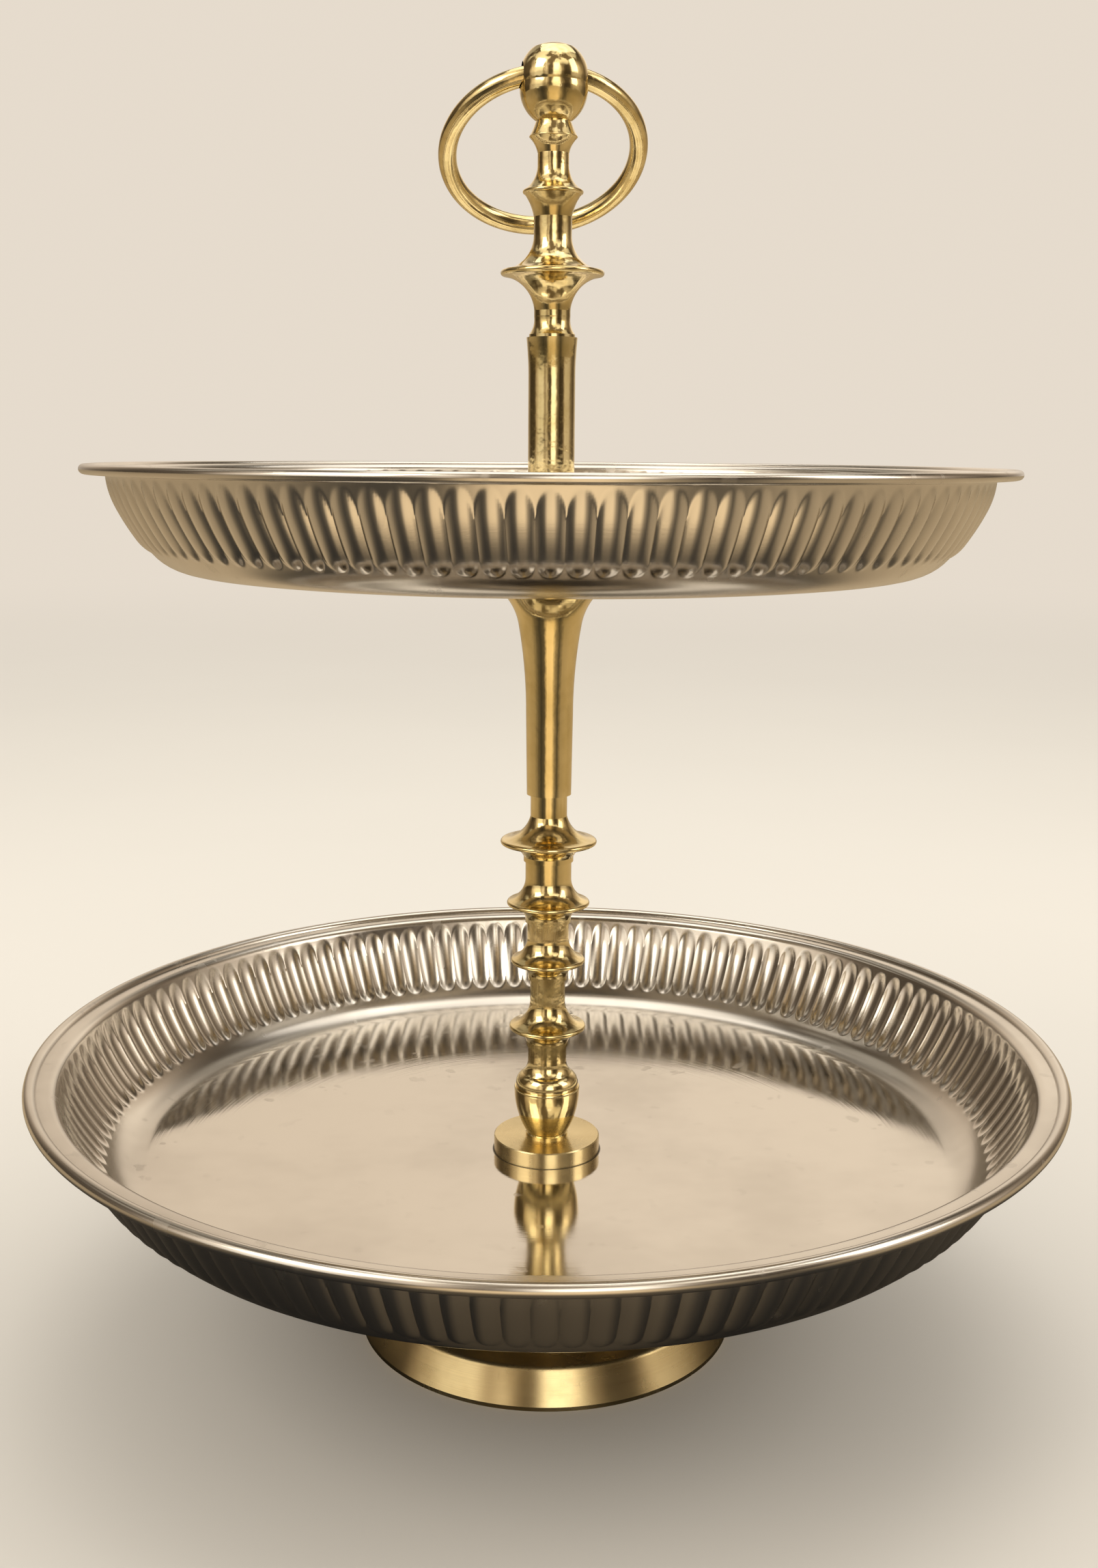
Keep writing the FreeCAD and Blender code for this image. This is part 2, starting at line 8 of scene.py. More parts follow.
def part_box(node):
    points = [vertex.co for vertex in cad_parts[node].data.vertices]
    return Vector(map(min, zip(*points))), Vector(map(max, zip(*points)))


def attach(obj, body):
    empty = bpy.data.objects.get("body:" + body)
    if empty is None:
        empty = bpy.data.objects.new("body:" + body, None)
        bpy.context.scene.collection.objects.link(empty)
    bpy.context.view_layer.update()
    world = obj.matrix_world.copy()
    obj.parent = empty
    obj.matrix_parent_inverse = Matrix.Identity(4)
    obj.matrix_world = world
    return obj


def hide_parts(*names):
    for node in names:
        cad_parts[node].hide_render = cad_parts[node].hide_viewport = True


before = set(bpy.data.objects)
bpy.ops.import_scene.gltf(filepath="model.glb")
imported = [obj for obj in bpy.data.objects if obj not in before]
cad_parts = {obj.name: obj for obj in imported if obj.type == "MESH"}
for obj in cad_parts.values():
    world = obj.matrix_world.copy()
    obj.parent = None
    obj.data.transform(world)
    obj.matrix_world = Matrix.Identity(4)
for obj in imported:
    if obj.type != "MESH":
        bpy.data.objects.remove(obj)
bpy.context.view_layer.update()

scene = bpy.context.scene
mm = 0.001
print("frame loaded:", len(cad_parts), "nodes")


# camera

cameraSetup = {
    "place": (0.0, -476.3, 261.0),   # mm
    "tilt": 11.34,                   # degrees below level
    "roll": 0.4,
    "lens": 38.55,
}

cameraData = bpy.data.cameras.new("stillCamera")
cameraData.lens = cameraSetup["lens"]
cameraData.sensor_width = 36.0
cameraData.clip_start = 0.02
cameraData.clip_end = 100.0
camera = bpy.data.objects.new("stillCamera", cameraData)
scene.collection.objects.link(camera)
camera.matrix_world = (
    Matrix.Translation([mm * v for v in cameraSetup["place"]])
    @ Matrix.Rotation(math.radians(90 - cameraSetup["tilt"]), 4, "X")
    @ Matrix.Rotation(math.radians(cameraSetup["roll"]), 4, "Z")
)
scene.camera = camera
print("camera set")


# node helpers

def place(tree, kind, **settings):
    node = tree.nodes.new(kind)
    for key, value in settings.items():
        setattr(node, key, value)
    return node


def feed(tree, socket, value):
    if isinstance(value, bpy.types.NodeSocket):
        tree.links.new(value, socket)
    else:
        socket.default_value = value


def calc(tree, operation, a, b=None, c=None, clamp=False):
    node = place(tree, "ShaderNodeMath", operation=operation, use_clamp=clamp)
    for socket, value in zip(node.inputs, (a, b, c)):
        if value is not None:
            feed(tree, socket, value)
    return node.outputs[0]


def blendColour(tree, share, a, b):
    node = place(tree, "ShaderNodeMix", data_type="RGBA")
    feed(tree, node.inputs[0], share)
    feed(tree, node.inputs[6], a)
    feed(tree, node.inputs[7], b)
    return node.outputs[2]


def remap(tree, value, low, high, newLow=0.0, newHigh=1.0):
    node = place(tree, "ShaderNodeMapRange")
    node.interpolation_type = "SMOOTHSTEP"
    for socket, number in zip(node.inputs, (value, low, high, newLow, newHigh)):
        feed(tree, socket, number)
    return node.outputs[0]


def fromAxis(tree, x, y):    # distance from the Z axis
    return calc(tree, "SQRT", calc(tree, "ADD", calc(tree, "MULTIPLY", x, x), calc(tree, "MULTIPLY", y, y)))


def newGroup(name, inputs, outputs):
    group = bpy.data.node_groups.new(name, "ShaderNodeTree")
    for label, kind, value in inputs:
        socket = group.interface.new_socket(
            label, in_out="INPUT", socket_type="NodeSocket" + kind)
        if value is not None:
            socket.default_value = value
    for label in outputs:
        group.interface.new_socket(label, in_out="OUTPUT", socket_type="NodeSocketFloat")
    given = group.nodes.new("NodeGroupInput").outputs
    out = group.nodes.new("NodeGroupOutput").inputs
    return group, given, out


def useGroup(tree, group, **values):
    node = place(tree, "ShaderNodeGroup", node_tree=group)
    for label, value in values.items():
        feed(tree, node.inputs[label], value)
    return node.outputs


def noise(tree, vector, scale, detail=2.0, roughness=0.5, w=None):
    node = place(tree, "ShaderNodeTexNoise", noise_dimensions="3D" if w is None else "4D")
    feed(tree, node.inputs["Vector"], vector)
    feed(tree, node.inputs["Scale"], scale)
    node.inputs["Detail"].default_value = detail
    node.inputs["Roughness"].default_value = roughness
    if w is not None:
        feed(tree, node.inputs["W"], w)
    return node.outputs["Fac"]


def stretch(tree, vector, scale, turn=(0, 0, 0)):
    node = place(tree, "ShaderNodeMapping")
    feed(tree, node.inputs["Vector"], vector)
    node.inputs["Scale"].default_value = scale
    node.inputs["Rotation"].default_value = [math.radians(v) for v in turn]
    return node.outputs[0]


def bump(tree, height, distance, normal=None):
    node = place(tree, "ShaderNodeBump")
    node.inputs["Distance"].default_value = distance
    feed(tree, node.inputs["Height"], height)
    if normal is not None:
        feed(tree, node.inputs["Normal"], normal)
    return node.outputs[0]


# shared surface effects

def makeTurningMarks():    # rings left by a lathe or a spinning tool, about the Z axis
    tree, given, out = newGroup(
        "turningMarks",
        [("Position", "Vector", None), ("Rings", "Float", 3000.0), ("Wander", "Float", 0.6)],
        ["Height", "Bands"],
    )
    split = place(tree, "ShaderNodeSeparateXYZ")
    feed(tree, split.inputs[0], given["Position"])
    x, y, z = split.outputs
    radius = fromAxis(tree, x, y)
    safe = calc(tree, "MAXIMUM", radius, 0.0001)
    for label, share in (("Height", 1.0), ("Bands", 0.13)):
        rate = calc(tree, "MULTIPLY", given["Rings"], share)
        spot = place(tree, "ShaderNodeCombineXYZ")
        for socket, axis in zip(spot.inputs, (x, y)):
            unit = calc(tree, "DIVIDE", axis, safe)
            feed(tree, socket, calc(tree, "MULTIPLY", unit, given["Wander"]))
        feed(tree, spot.inputs[2], calc(tree, "MULTIPLY", z, rate))
        value = noise(tree, spot.outputs[0], 1.0, 3.0, 0.65, w=calc(tree, "MULTIPLY", radius, rate))
        feed(tree, out[label], value)
    return tree


def makeHandlingMarks():    # smudges, hair scratches and small pits
    tree, given, out = newGroup(
        "handlingMarks",
        [("Position", "Vector", None), ("Smudges", "Float", 30.0),
         ("Hairs", "Float", 220.0), ("Pits", "Float", 900.0)],
        ["Smudge", "Hair", "Pit"],
    )
    cloudy = noise(tree, given["Position"], given["Smudges"], 4.0, 0.6)
    feed(tree, out["Smudge"], remap(tree, cloudy, 0.38, 0.68))
    hairs = None
    for turn, offset in (((25, 10, 35), 0.0), ((-40, 65, -20), 3.0), ((80, -15, 70), 7.0)):
        along = stretch(tree, given["Position"], (1.0, 1.0, 0.03), turn)
        shifted = place(tree, "ShaderNodeVectorMath", operation="ADD")
        feed(tree, shifted.inputs[0], along)
        shifted.inputs[1].default_value = (offset, offset, offset)
        value = noise(tree, shifted.outputs[0], given["Hairs"], 2.0, 0.5)
        line = remap(tree, value, 0.685, 0.72)
        hairs = line if hairs is None else calc(tree, "MAXIMUM", hairs, line)
    feed(tree, out["Hair"], hairs)
    cells = place(tree, "ShaderNodeTexVoronoi", feature="F1")
    feed(tree, cells.inputs["Vector"], given["Position"])
    feed(tree, cells.inputs["Scale"], given["Pits"])
    dots = remap(tree, cells.outputs["Distance"], 0.10, 0.28, 1.0, 0.0)
    spread = noise(tree, given["Position"], calc(tree, "MULTIPLY", given["Pits"], 0.35), 1.0)
    thinned = remap(tree, spread, 0.52, 0.60)
    feed(tree, out["Pit"], calc(tree, "MULTIPLY", dots, thinned))
    return tree


def makeEdgesAndHollows():    # where rubbing brightens the metal, and hollows where polish is left behind and shade is painted darker
    tree, given, out = newGroup("edgesAndHollows", [("Position", "Vector", None)], ["Edge", "Hollow"])
    point = place(tree, "ShaderNodeNewGeometry").outputs["Pointiness"]
    breakUp = noise(tree, given["Position"], 160.0, 3.0)
    edge = remap(tree, point, 0.52, 0.60)
    hollow = remap(tree, point, 0.485, 0.41)
    feed(tree, out["Edge"], calc(tree, "MULTIPLY", edge, remap(tree, breakUp, 0.3, 0.6, 0.5, 1.0)))
    feed(tree, out["Hollow"], calc(tree, "MULTIPLY", hollow, remap(tree, breakUp, 0.35, 0.65, 0.4, 1.0)))
    return tree


turningMarks = makeTurningMarks()
handlingMarks = makeHandlingMarks()
edgesAndHollows = makeEdgesAndHollows()
print("surface effects made")


# materials

def startMaterial(name):
    material = bpy.data.materials.new(name)
    material.use_nodes = True
    tree = material.node_tree
    shader = tree.nodes["Principled BSDF"]
    position = place(tree, "ShaderNodeTexCoord").outputs["Object"]
    return material, tree, shader, position


hairDepth = 0.000003    # of a hair scratch in brass, metres


def makeBrass(name, look):
    material, tree, shader, position = startMaterial(name)
    marks = useGroup(tree, handlingMarks, Position=position, Smudges=look["smudges"], Hairs=look["hairs"],
                     Pits=look["pits"])
    rings = useGroup(tree, turningMarks, Position=position, Rings=look["rings"], Wander=look["wander"])
    wearAndShade = useGroup(tree, edgesAndHollows, Position=position)
    colour = blendColour(tree, marks["Smudge"], look["bright"], look["dull"])
    # painted shade with polish residue: hollows are darkened towards the hollow colour
    colour = blendColour(tree, calc(tree, "MULTIPLY", wearAndShade["Hollow"], look["grimeAndShade"]), colour, look["hollow"])
    colour = blendColour(tree, calc(tree, "MULTIPLY", wearAndShade["Edge"], look["edgeShine"]), colour, look["edge"])
    feed(tree, shader.inputs["Base Color"], colour)
    shader.inputs["Metallic"].default_value = 1.0
    rough = calc(tree, "MULTIPLY_ADD", marks["Smudge"], look["smudgeRough"], look["rough"])
    rough = calc(tree, "MULTIPLY_ADD", rings["Bands"], look["bandRough"], rough)
    rough = calc(tree, "MULTIPLY_ADD", marks["Hair"], look["hairRough"], rough)
    rough = calc(tree, "MULTIPLY_ADD", wearAndShade["Hollow"], 0.12, rough, clamp=True)
    feed(tree, shader.inputs["Roughness"], rough)
    slope = place(tree, "ShaderNodeSeparateXYZ")
    feed(tree, slope.inputs[0], place(tree, "ShaderNodeNewGeometry").outputs["Normal"])
    flare = remap(tree, calc(tree, "ABSOLUTE", slope.outputs[2]), 0.25, 0.7, look["sideLines"], 1.0)
    normal = bump(tree, noise(tree, position, look["ripples"], 2.0), look["rippleDepth"])
    normal = bump(tree, calc(tree, "MULTIPLY", rings["Height"], flare), look["ringDepth"], normal)
    normal = bump(tree, calc(tree, "MULTIPLY", marks["Pit"], -1.0), look["pitDepth"], normal)
    normal = bump(tree, calc(tree, "MULTIPLY", marks["Hair"], -1.0), hairDepth, normal)
    feed(tree, shader.inputs["Normal"], normal)
    shader.inputs["Anisotropic"].default_value = look.get("grain", 0.0)
    if look.get("grain"):
        shader.inputs["Anisotropic Rotation"].default_value = 0.25    # brushed round, so glints run up and down
        tangent = place(tree, "ShaderNodeTangent", direction_type="RADIAL", axis="Z")
        feed(tree, shader.inputs["Tangent"], tangent.outputs[0])
    return material


# each look's hollow colour and its weight darken hollows: painted shade, with polish residue
brassLooks = {
    "turnedBrass": {   # spindle, socket, trumpet, tube
        "bright": (0.79, 0.645, 0.335, 1), "dull": (0.64, 0.505, 0.225, 1), "edge": (0.93, 0.79, 0.46, 1),
        "hollow": (0.36, 0.23, 0.07, 1), "grimeAndShade": 0.6, "rough": 0.05, "smudgeRough": 0.05, "bandRough": 0.05,
        "smudges": 55.0, "hairs": 300.0, "pits": 1400.0, "pitDepth": 0.000004,
        "ripples": 260.0, "rippleDepth": 0.00009, "rings": 2600.0, "wander": 0.5,
        "sideLines": 0.12, "ringDepth": 0.000022, "hairRough": 0.10, "edgeShine": 0.5,
    },
    "spunBrass": {     # foot and disc, satin
        "bright": (0.69, 0.56, 0.305, 1), "dull": (0.60, 0.47, 0.235, 1), "edge": (0.93, 0.80, 0.48, 1),
        "hollow": (0.34, 0.22, 0.08, 1), "grimeAndShade": 0.5, "rough": 0.17, "smudgeRough": 0.06, "bandRough": 0.12,
        "smudges": 40.0, "hairs": 260.0, "pits": 1200.0, "pitDepth": 0.000001,
        "ripples": 60.0, "rippleDepth": 0.00005, "rings": 3200.0, "wander": 1.1,
        "sideLines": 0.6, "ringDepth": 0.00002, "grain": 0.75, "hairRough": 0.03, "edgeShine": 0.25,
    },
    "castBrass": {     # finial
        "bright": (0.76, 0.62, 0.32, 1), "dull": (0.60, 0.465, 0.20, 1), "edge": (0.93, 0.79, 0.46, 1),
        "hollow": (0.33, 0.21, 0.07, 1), "grimeAndShade": 0.7, "rough": 0.06, "smudgeRough": 0.07, "bandRough": 0.05,
        "smudges": 90.0, "hairs": 320.0, "pits": 1100.0, "pitDepth": 0.000007,
        "ripples": 240.0, "rippleDepth": 0.00016, "rings": 2400.0, "wander": 0.7,
        "sideLines": 0.15, "ringDepth": 0.00002, "hairRough": 0.10, "edgeShine": 0.5,
    },
    "wireBrass": {     # ring
        "bright": (0.76, 0.62, 0.32, 1), "dull": (0.59, 0.455, 0.20, 1), "edge": (0.90, 0.75, 0.42, 1),
        "hollow": (0.36, 0.23, 0.07, 1), "grimeAndShade": 0.3, "rough": 0.07, "smudgeRough": 0.08, "bandRough": 0.02,
        "smudges": 110.0, "hairs": 260.0, "pits": 1000.0, "pitDepth": 0.000004,
        "ripples": 200.0, "rippleDepth": 0.00012, "rings": 900.0, "wander": 8.0,
        "sideLines": 0.5, "ringDepth": 0.000006, "hairRough": 0.10, "edgeShine": 0.5,
    },
}
brass = {name: makeBrass(name, look) for name, look in brassLooks.items()}

# the near-black seat colour is painted contact shadow, with tarnish, round where the disc and the tube stand
traySteel = {
    "bright": (0.66, 0.62, 0.555, 1), "dull": (0.58, 0.54, 0.48, 1), "hollow": (0.30, 0.27, 0.22, 1),
    "seatShadowAndTarnish": (0.035, 0.028, 0.018, 1), "rough": 0.06, "smudgeRough": 0.06, "wallRough": 0.11,
    "rippleDepth": 0.00010, "ringDepth": 0.000010, "hairDepth": 0.000004,
}


def makeTraySteel(name, look, floorRadius, seatRadius):
    material, tree, shader, position = startMaterial(name)
    marks = useGroup(tree, handlingMarks, Position=position, Smudges=14.0, Hairs=110.0, Pits=700.0)
    rings = useGroup(tree, turningMarks, Position=position, Rings=1900.0, Wander=1.2)
    wearAndShade = useGroup(tree, edgesAndHollows, Position=position)
    split = place(tree, "ShaderNodeSeparateXYZ")
    feed(tree, split.inputs[0], position)
    x, y, _ = split.outputs
    radius = fromAxis(tree, x, y)
    wall = remap(tree, radius, floorRadius - 0.002, floorRadius + 0.004)
    colour = blendColour(tree, marks["Smudge"], look["bright"], look["dull"])
    # painted shade with polish residue: hollows are darkened towards the hollow colour
    colour = blendColour(tree, calc(tree, "MULTIPLY", wearAndShade["Hollow"], 0.5), colour, look["hollow"])
    offSeat = calc(tree, "ABSOLUTE", calc(tree, "SUBTRACT", radius, seatRadius))
    seatShadowAndTarnish = remap(tree, offSeat, 0.00015, 0.0007, 0.9, 0.0)    # painted contact shadow, with tarnish and polish left round what stands on it
    colour = blendColour(tree, seatShadowAndTarnish, colour, look["seatShadowAndTarnish"])
    feed(tree, shader.inputs["Base Color"], colour)
    shader.inputs["Metallic"].default_value = 1.0
    rough = calc(tree, "MULTIPLY_ADD", marks["Smudge"], look["smudgeRough"], look["rough"])
    rough = calc(tree, "MULTIPLY_ADD", seatShadowAndTarnish, 0.4, rough)
    rough = calc(tree, "MULTIPLY_ADD", wall, look["wallRough"], rough)
    rough = calc(tree, "MULTIPLY_ADD", marks["Hair"], 0.08, rough, clamp=True)
    feed(tree, shader.inputs["Roughness"], rough)
    ripple = noise(tree, position, 26.0, 2.0, 0.45)
    normal = bump(tree, ripple, look["rippleDepth"])
    normal = bump(tree, rings["Height"], look["ringDepth"], normal)
    normal = bump(tree, calc(tree, "MULTIPLY", marks["Hair"], -1.0), look["hairDepth"], normal)
    feed(tree, shader.inputs["Normal"], normal)
    return material


def makeZincSteel(name, threadPitch=None):
    material, tree, shader, position = startMaterial(name)
    marks = useGroup(tree, handlingMarks, Position=position, Smudges=160.0, Hairs=500.0, Pits=2200.0)
    colour = blendColour(tree, marks["Smudge"], (0.62, 0.63, 0.66, 1), (0.47, 0.47, 0.50, 1))
    feed(tree, shader.inputs["Base Color"], colour)
    shader.inputs["Metallic"].default_value = 1.0
    feed(tree, shader.inputs["Roughness"], calc(tree, "MULTIPLY_ADD", marks["Smudge"], 0.12, 0.26))
    normal = bump(tree, marks["Pit"], 0.00001)
    if threadPitch:
        split = place(tree, "ShaderNodeSeparateXYZ")
        feed(tree, split.inputs[0], position)
        x, y, z = split.outputs
        turnShare = calc(tree, "MULTIPLY", calc(tree, "ARCTAN2", y, x), 0.5 / math.pi)
        climb = calc(tree, "MULTIPLY_ADD", z, 1.0 / threadPitch, calc(tree, "MULTIPLY", turnShare, -1.0))
        thread = calc(tree, "PINGPONG", climb, 0.5)
        normal = bump(tree, thread, 0.0010, normal)
    feed(tree, shader.inputs["Normal"], normal)
    return material


zinc = makeZincSteel("zincSteel")
threaded = makeZincSteel("threadedSteel", threadPitch=1.0 * mm)
print("metals made")


# the turned brass and the hidden fixings keep their own meshes and take these finishes

finishOf = {
    "foot": brass["spunBrass"], "flange_disc": brass["spunBrass"],
    "tapered_socket": brass["turnedBrass"], "knop_spindle": brass["turnedBrass"],
    "trumpet_support": brass["turnedBrass"], "upper_tube": brass["turnedBrass"],
    "finial": brass["castBrass"], "ring_handle": brass["wireBrass"],
    "base_washer": zinc, "base_nut": zinc, "lower_stud": threaded, "upper_stud": threaded,
}
for node, finish in finishOf.items():
    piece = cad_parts[node]
    piece.data.materials.clear()
    piece.data.materials.append(finish)
print("brass and fixings finished")


# the pressed trays

# underside of the sheet from the hole to the bead, as (radius, height, slope)
def traySection(tray, low, high):
    sheet, bead = tray["sheet"] * mm, tray["bead"] * mm
    beadRadius = high.x - bead - 0.05 * mm    # just inside the box
    beadHeight = high.z - bead
    flangeEnd = beadRadius - math.sqrt(bead ** 2 - (sheet / 2) ** 2)
    flangeStart = flangeEnd - tray["flange"] * mm
    slopes = ("dishSlope", "cornerSlope", "wallSlope")
    dishSlope, cornerSlope, wallSlope = (math.radians(tray[k]) for k in slopes)
    bend, wall, corner = (tray[k] * mm for k in ("bend", "wall", "corner"))
    wallTop = flangeStart - bend * math.sin(wallSlope)
    wallFoot = wallTop - wall * (math.sin(wallSlope) - math.sin(cornerSlope))
    dishEdge = wallFoot - corner * (math.sin(cornerSlope) - math.sin(dishSlope))
    clamp = tray["clamp"] * mm
    dish = (dishEdge - clamp) / math.sin(dishSlope)

    def arc(start, radius, turns, hollow=1.0):
        r0, z0 = start
        a0 = turns[0]
        return [(r0 + hollow * radius * (math.sin(a) - math.sin(a0)),
                 z0 - hollow * radius * (math.cos(a) - math.cos(a0)), a) for a in turns]

    flat = [(r, low.z, 0.0) for r in np.linspace(tray["hole"] * mm, clamp, 4)]
    dishRun = arc((clamp, low.z), dish, np.linspace(0, dishSlope, tray["dishRows"]))
    cornerRun = arc(dishRun[-1][:2], corner, np.linspace(dishSlope, cornerSlope, tray["cornerRows"]))
    span = wall * (wallSlope - cornerSlope)
    rise = np.linspace(0.0, 1.0, tray["wallRows"])
    along = span * (rise - 0.09 * np.sin(2 * np.pi * rise))    # rows crowd at both ends
    wallRun = arc(cornerRun[-1][:2], wall, cornerSlope + along / wall)
    bendRun = arc(wallRun[-1][:2], bend, np.linspace(wallSlope, 0.0, 6), hollow=-1.0)
    flangeRun = [(flangeEnd, bendRun[-1][1], 0.0)]
    return flat, dishRun, cornerRun, wallRun, bendRun, flangeRun, along, span, (beadRadius, beadHeight)


lowerTray = {
    "name": "fluted_lower_tray", "node": "lower_tray",
    "sheet": 0.9, "hole": 3.05, "clamp": 22.0,                       # mm
    "dishSlope": 3.94, "cornerSlope": 50.0, "wallSlope": 72.0,       # degrees
    "corner": 14.5, "wall": 69.2, "bend": 1.8, "flange": 3.0, "bead": 1.9,
    "flutes": 130, "fineSteps": 12, "coarseSteps": 2, "crowd": 0.45,
    "fluteDepth": 0.85, "fluteFullness": 2.1, "fluteLow": 0.4, "fluteHigh": 0.3,
    "lowEnd": 5.0, "highEnd": 8.0,
    "dishRows": 9, "cornerRows": 8, "wallRows": 24, "beadRows": 20,
    "polishTo": 118.6,                                               # mm, the mirror floor's edge
}
upperTray = {
    "name": "fluted_upper_tray", "node": "upper_tray",
    "sheet": 0.9, "hole": 3.05, "clamp": 22.0,
    "dishSlope": 3.27, "cornerSlope": 50.0, "wallSlope": 72.0,
    "corner": 14.5, "wall": 60.7, "bend": 1.8, "flange": 2.4, "bead": 1.3,
    "flutes": 114, "fineSteps": 12, "coarseSteps": 2, "crowd": 0.45,
    "fluteDepth": 0.95, "fluteFullness": 2.1, "fluteLow": 0.4, "fluteHigh": 0.3,
    "lowEnd": 5.0, "highEnd": 8.0,
    "dishRows": 9, "cornerRows": 8, "wallRows": 24, "beadRows": 18,
    "polishTo": 99.2,
}


def fluteAngles(tray, steps):    # one turn, with the points crowded at the ridges between flutes
    share = np.arange(steps) / steps
    share = share - tray["crowd"] * np.sin(2 * np.pi * share) / (2 * np.pi)
    turns = (np.arange(tray["flutes"])[:, None] + share[None, :]) / tray["flutes"]
    return 2 * np.pi * turns.ravel()


def pressedDepth(tray, along, span, radius, angles):    # how far the sheet is pushed out
    phase = (angles * tray["flutes"] / (2 * np.pi)) % 1.0
    half = math.pi * radius / tray["flutes"]
    across = np.abs(phase - 0.5) * 2 * half
    start, stop = tray["fluteLow"] * mm, span - tray["fluteHigh"] * mm
    lowEnd, highEnd = (tray[k] * mm for k in ("lowEnd", "highEnd"))    # the ends are half ellipses
    beyond = half * max((start + lowEnd - along) / lowEnd, (along - stop + highEnd) / highEnd, 0.0)
    reach = np.minimum(np.sqrt(across ** 2 + beyond ** 2) / half, 1.0)
    return tray["fluteDepth"] * mm * (1 - reach ** tray["fluteFullness"])


def buildTray(tray, material):
    low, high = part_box(tray["node"])
    runs = traySection(tray, low, high)
    flat, dishRun, cornerRun, wallRun, bendRun, flangeRun, along, span, bead = runs
    sheet = tray["sheet"] * mm
    before = flat + dishRun[1:] + cornerRun[1:-1]
    after = bendRun[1:] + flangeRun

    def lift(run):
        return [(r - sheet * math.sin(a), z + sheet * math.cos(a), a) for r, z, a in run]

    lean = math.asin(sheet / 2 / (tray["bead"] * mm))
    turns = np.linspace(math.pi + lean, 3 * math.pi - lean, tray["beadRows"])[1:-1]
    roll = tray["bead"] * mm
    beadRun = [(bead[0] + roll * math.cos(t), bead[1] + roll * math.sin(t), 0.0) for t in turns]
    rows = [("coarse", r, z, a, 0) for r, z, a in before]
    rows += [("fine", r, z, a, s) for (r, z, a), s in zip(wallRun, along)]
    rows += [("coarse", r, z, a, 0) for r, z, a in after + beadRun + lift(after)[::-1]]
    rows += [("fine", r, z, a, s) for (r, z, a), s in zip(lift(wallRun)[::-1], along[::-1])]
    rows += [("coarse", r, z, a, 0) for r, z, a in lift(before)[::-1]]

    fine = fluteAngles(tray, tray["fineSteps"])
    coarse = fluteAngles(tray, tray["coarseSteps"])
    ratio = tray["fineSteps"] // tray["coarseSteps"]
    points, starts, total = [], [], 0
    for kind, r, z, a, s in rows:
        angles = fine if kind == "fine" else coarse
        push = pressedDepth(tray, s, span, r, angles) if kind == "fine" else np.zeros(len(angles))
        ringRadius = r + push * math.sin(a)
        height = z - push * math.cos(a)
        points.append(np.stack([ringRadius * np.cos(angles), ringRadius * np.sin(angles), height], 1))
        starts.append(total)
        total += len(angles)

    faces = []
    for k in range(len(rows)):
        m = (k + 1) % len(rows)
        a, b = starts[k], starts[m]
        kindA, kindB = rows[k][0], rows[m][0]
        if kindA == kindB:
            count = len(fine) if kindA == "fine" else len(coarse)
            faces += [(a + i, a + (i + 1) % count, b + (i + 1) % count, b + i) for i in range(count)]
            continue
        flip = kindA == "fine"
        few, many = (b, a) if flip else (a, b)
        for i in range(len(coarse)):
            j = (i + 1) % len(coarse)
            edge = [many + (i * ratio + n) % len(fine) for n in range(ratio + 1)]
            mid = ratio // 2
            fans = [(few + i, edge[n + 1], edge[n]) for n in range(mid)]
            fans += [(few + i, few + j, edge[mid])]
            fans += [(few + j, edge[n + 1], edge[n]) for n in range(mid, ratio)]
            faces += [f[::-1] for f in fans] if flip else fans
    mesh = bpy.data.meshes.new(tray["name"])
    mesh.from_pydata(np.concatenate(points).tolist(), [], faces)
    mesh.update()
    mesh.shade_smooth()
    mesh.set_sharp_from_angle(angle=math.radians(50))
    mesh.materials.append(material)
    piece = bpy.data.objects.new(tray["name"], mesh)
    scene.collection.objects.link(piece)
    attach(piece, "stand")
    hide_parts(tray["node"])
    print("pressed", tray["name"], "with", sum(len(f) - 2 for f in faces), "triangles")


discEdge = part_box("flange_disc")[1].x
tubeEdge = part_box("upper_tube")[1].x - 0.5 * mm
buildTray(lowerTray, makeTraySteel("lowerTraySteel", traySteel, lowerTray["polishTo"] * mm, discEdge))
buildTray(upperTray, makeTraySteel("upperTraySteel", traySteel, upperTray["polishTo"] * mm, tubeEdge))


# floor, light and surroundings

backdropColour = (0.79, 0.71, 0.61, 1)

floorSetup = {
    "radius": 14.0, "colour": (0.70, 0.66, 0.60, 1), "other": (0.67, 0.63, 0.57, 1), "rough": 0.6,
    "inMetal": (0.030, 0.029, 0.028, 1), "inMetalPatch": (0.98, 0.77, 0.50, 1),    # painted reflection, seen in polished metal only
    "patchFrom": 0.20, "patchTo": 0.34, "patchNear": 0.10,
    "farGlow": backdropColour, "farFrom": 0.7, "farTo": 3.0,
}

# painted reflection: share of the lighter patch that polished metal sees on the floor, by degrees from the -Y
# side
floorRing = [
    (-180, 0.42), (-120, 0.45), (-76, 0.32), (-56, 0.10), (-40, 0.02), (-24, 0.08), (-13, 0.85), (12, 0.95),
    (24, 0.30), (38, 0.05), (56, 0.32), (90, 0.40), (140, 0.45), (180, 0.42),
]


def ringLevel(tree, x, y, ring, top=1.0):    # a value by direction round the Z axis
    around = calc(tree, "ARCTAN2", x, calc(tree, "MULTIPLY", y, -1.0))
    ramp = place(tree, "ShaderNodeValToRGB")
    feed(tree, ramp.inputs[0], calc(tree, "MULTIPLY_ADD", around, 0.5 / math.pi, 0.5))
    stops = ramp.color_ramp.elements
    while len(stops) > 1:
        stops.remove(stops[-1])
    for number, (degrees, value) in enumerate(ring):
        spot = (degrees + 180) / 360
        stop = stops[0] if number == 0 else stops.new(spot)
        stop.position = spot
        stop.color = (value / top, value / top, value / top, 1)
    return calc(tree, "MULTIPLY", ramp.outputs[0], top)


